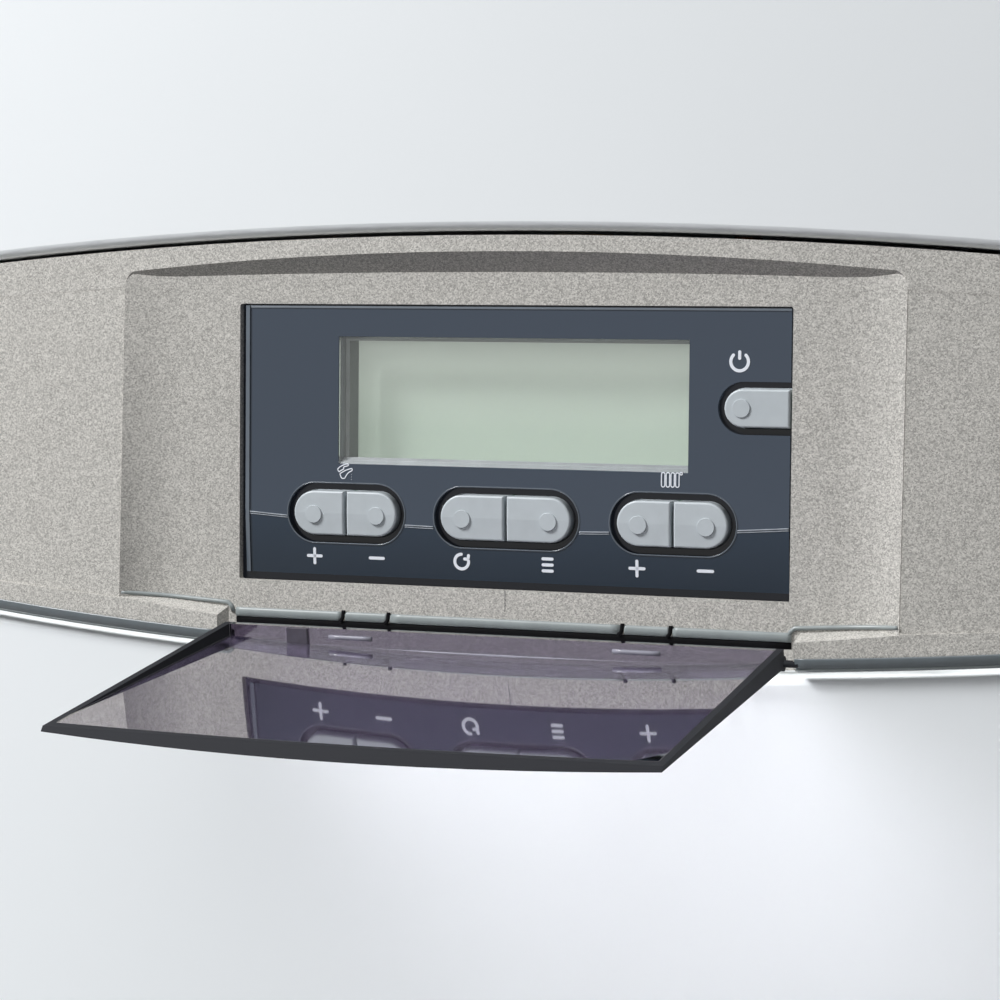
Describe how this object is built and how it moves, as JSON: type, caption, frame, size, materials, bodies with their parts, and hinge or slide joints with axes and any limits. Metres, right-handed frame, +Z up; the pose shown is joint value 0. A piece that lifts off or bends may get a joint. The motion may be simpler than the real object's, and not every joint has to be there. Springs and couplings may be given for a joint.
{
  "type": "combi boiler",
  "caption": "Wall-hung gas combi boiler with bowed white covers, a silver control band with display and keys, and a fold-down smoked flap.",
  "frame": {"origin": "midway between the two fixing holes of the hanging bracket, on the wall", "axes": "+X right seen from the front, +Y into the wall, +Z up"},
  "size_m": [0.4, 0.4048, 0.8555],
  "materials": {
    "white_enamel": "smooth satin powder coat",
    "galvanised_steel": "zinc-coated sheet",
    "zinc_screw": "zinc-plated",
    "silver_fascia": "metallic silver lacquer with fine flake",
    "smoked_flap": "smoked, polished",
    "dark_panel": "dark slate blue, satin",
    "clear_window": "clear, polished",
    "display_glass": "pale green-grey display glass",
    "black_plastic": "fine moulded texture",
    "key_grey": "light blue-grey, satin",
    "board_green": "lacquered board",
    "copper": "copper, lightly aged",
    "ceramic_fibre": "fibrous board",
    "ceramic_white": "glazed porcelain",
    "stainless": "rolled stainless sheet",
    "brass": "cast and turned",
    "pump_black": "painted casting",
    "rotor_steel": "turned",
    "red_paint": "painted pressing",
    "cast_aluminium": "die-cast",
    "grey_plastic": "moulded",
    "knob_red": "moulded",
    "lever_blue": "dipped grip",
    "lever_yellow": "dipped grip"
  },
  "bodies": {
    "casing": {"front_cover": "white_enamel", "lower_cover": "white_enamel", "side_panel_left": "white_enamel", "side_panel_right": "white_enamel", "top_panel": "white_enamel", "bottom_panel": "galvanised_steel", "back_frame": "galvanised_steel", "hanging_bracket": "galvanised_steel", "sealed_chamber": "galvanised_steel", "chamber_door": "galvanised_steel", "firebox": "galvanised_steel", "flue_hood": "galvanised_steel", "casing_screws": "zinc_screw", "fascia": "silver_fascia", "display_panel": "dark_panel", "display_window": "clear_window", "lcd_module": "display_glass", "display_bezel": "black_plastic", "control_box": "black_plastic", "air_vent": "black_plastic", "flow_sensor": "black_plastic", "cable_gland": "black_plastic", "control_board": "board_green", "heat_exchanger": "copper", "flow_pipe": "copper", "return_pipe": "copper", "vessel_pipe": "copper", "insulation_boards": "ceramic_fibre", "electrodes": "ceramic_white", "burner": "stainless", "plate_exchanger": "stainless", "service_valves": "brass", "supply_block": "brass", "return_block": "brass", "relief_valve": "brass", "gas_manifold": "brass", "gas_pipes": "brass", "pump_housing": "pump_black", "expansion_vessel": "red_paint", "gas_valve": "cast_aluminium", "fan_housing": "cast_aluminium", "flue_collar": "cast_aluminium", "diverter_motor": "grey_plastic"},
    "flap": {"flap": "smoked_flap"},
    "fan_rotor": {"fan_impeller": "cast_aluminium"},
    "pump_rotor": {"pump_rotor": "rotor_steel"},
    "turbine": {"flow_turbine": "grey_plastic"},
    "diverter_spool": {"diverter_spool": "grey_plastic"},
    "relief_knob": {"relief_knob": "knob_red"},
    "button_hot_water_plus": {"button_hot_water_plus": "key_grey"},
    "button_hot_water_minus": {"button_hot_water_minus": "key_grey"},
    "button_reset": {"button_reset": "key_grey"},
    "button_menu": {"button_menu": "key_grey"},
    "button_heating_plus": {"button_heating_plus": "key_grey"},
    "button_heating_minus": {"button_heating_minus": "key_grey"},
    "power_button": {"power_button": "key_grey"},
    "flow_lever": {"flow_valve_lever": "lever_blue"},
    "gas_lever": {"gas_valve_lever": "lever_yellow"},
    "cold_lever": {"cold_valve_lever": "lever_blue"},
    "return_lever": {"return_valve_lever": "lever_blue"}
  },
  "joints": [
    {"name": "flap_hinge", "type": "hinge", "parent": "casing", "child": "flap", "pos_m": [0, -0.2957, -0.5361], "axis": [-1, 0, 0], "range_deg": [0, 99.4]},
    {"name": "button_hot_water_plus_press", "type": "slide", "parent": "casing", "child": "button_hot_water_plus", "axis": [0, 1, 0], "range_m": [0, 0.0012], "stiffness_N_per_m": 1000, "springref_m": -0.0004},
    {"name": "button_hot_water_minus_press", "type": "slide", "parent": "casing", "child": "button_hot_water_minus", "axis": [0, 1, 0], "range_m": [0, 0.0012], "stiffness_N_per_m": 1000, "springref_m": -0.0004},
    {"name": "button_reset_press", "type": "slide", "parent": "casing", "child": "button_reset", "axis": [0, 1, 0], "range_m": [0, 0.0012], "stiffness_N_per_m": 1000, "springref_m": -0.0004},
    {"name": "button_menu_press", "type": "slide", "parent": "casing", "child": "button_menu", "axis": [0, 1, 0], "range_m": [0, 0.0012], "stiffness_N_per_m": 1000, "springref_m": -0.0004},
    {"name": "button_heating_plus_press", "type": "slide", "parent": "casing", "child": "button_heating_plus", "axis": [0, 1, 0], "range_m": [0, 0.0012], "stiffness_N_per_m": 1000, "springref_m": -0.0004},
    {"name": "button_heating_minus_press", "type": "slide", "parent": "casing", "child": "button_heating_minus", "axis": [0, 1, 0], "range_m": [0, 0.0012], "stiffness_N_per_m": 1000, "springref_m": -0.0004},
    {"name": "power_button_press", "type": "slide", "parent": "casing", "child": "power_button", "axis": [0, 1, 0], "range_m": [0, 0.0012], "stiffness_N_per_m": 1000, "springref_m": -0.0004},
    {"name": "fan_spin", "type": "hinge", "parent": "casing", "child": "fan_rotor", "pos_m": [-0.026, -0.155, -0.025], "axis": [0, 1, 0], "continuous": true},
    {"name": "pump_spin", "type": "hinge", "parent": "casing", "child": "pump_rotor", "pos_m": [0.13, -0.125, -0.496], "axis": [0, 1, 0], "continuous": true},
    {"name": "turbine_spin", "type": "hinge", "parent": "casing", "child": "turbine", "pos_m": [0.065, -0.125, -0.6358], "axis": [0, 0, 1], "continuous": true},
    {"name": "diverter_slide", "type": "slide", "parent": "casing", "child": "diverter_spool", "axis": [0, 1, 0], "range_m": [0, 0.008], "stiffness_N_per_m": 300, "springref_m": -0.001},
    {"name": "relief_knob_turn", "type": "hinge", "parent": "casing", "child": "relief_knob", "pos_m": [0.085, -0.172, -0.5725], "axis": [0, -1, 0], "range_deg": [0, 90]},
    {"name": "flow_lever_turn", "type": "hinge", "parent": "casing", "child": "flow_lever", "pos_m": [-0.13, -0.152, -0.703], "axis": [0, 1, 0], "range_deg": [0, 90]},
    {"name": "gas_lever_turn", "type": "hinge", "parent": "casing", "child": "gas_lever", "pos_m": [0, -0.152, -0.703], "axis": [0, 1, 0], "range_deg": [0, 90]},
    {"name": "cold_lever_turn", "type": "hinge", "parent": "casing", "child": "cold_lever", "pos_m": [0.065, -0.152, -0.703], "axis": [0, 1, 0], "range_deg": [0, 90]},
    {"name": "return_lever_turn", "type": "hinge", "parent": "casing", "child": "return_lever", "pos_m": [0.13, -0.152, -0.703], "axis": [0, 1, 0], "range_deg": [0, 90]}
  ]
}
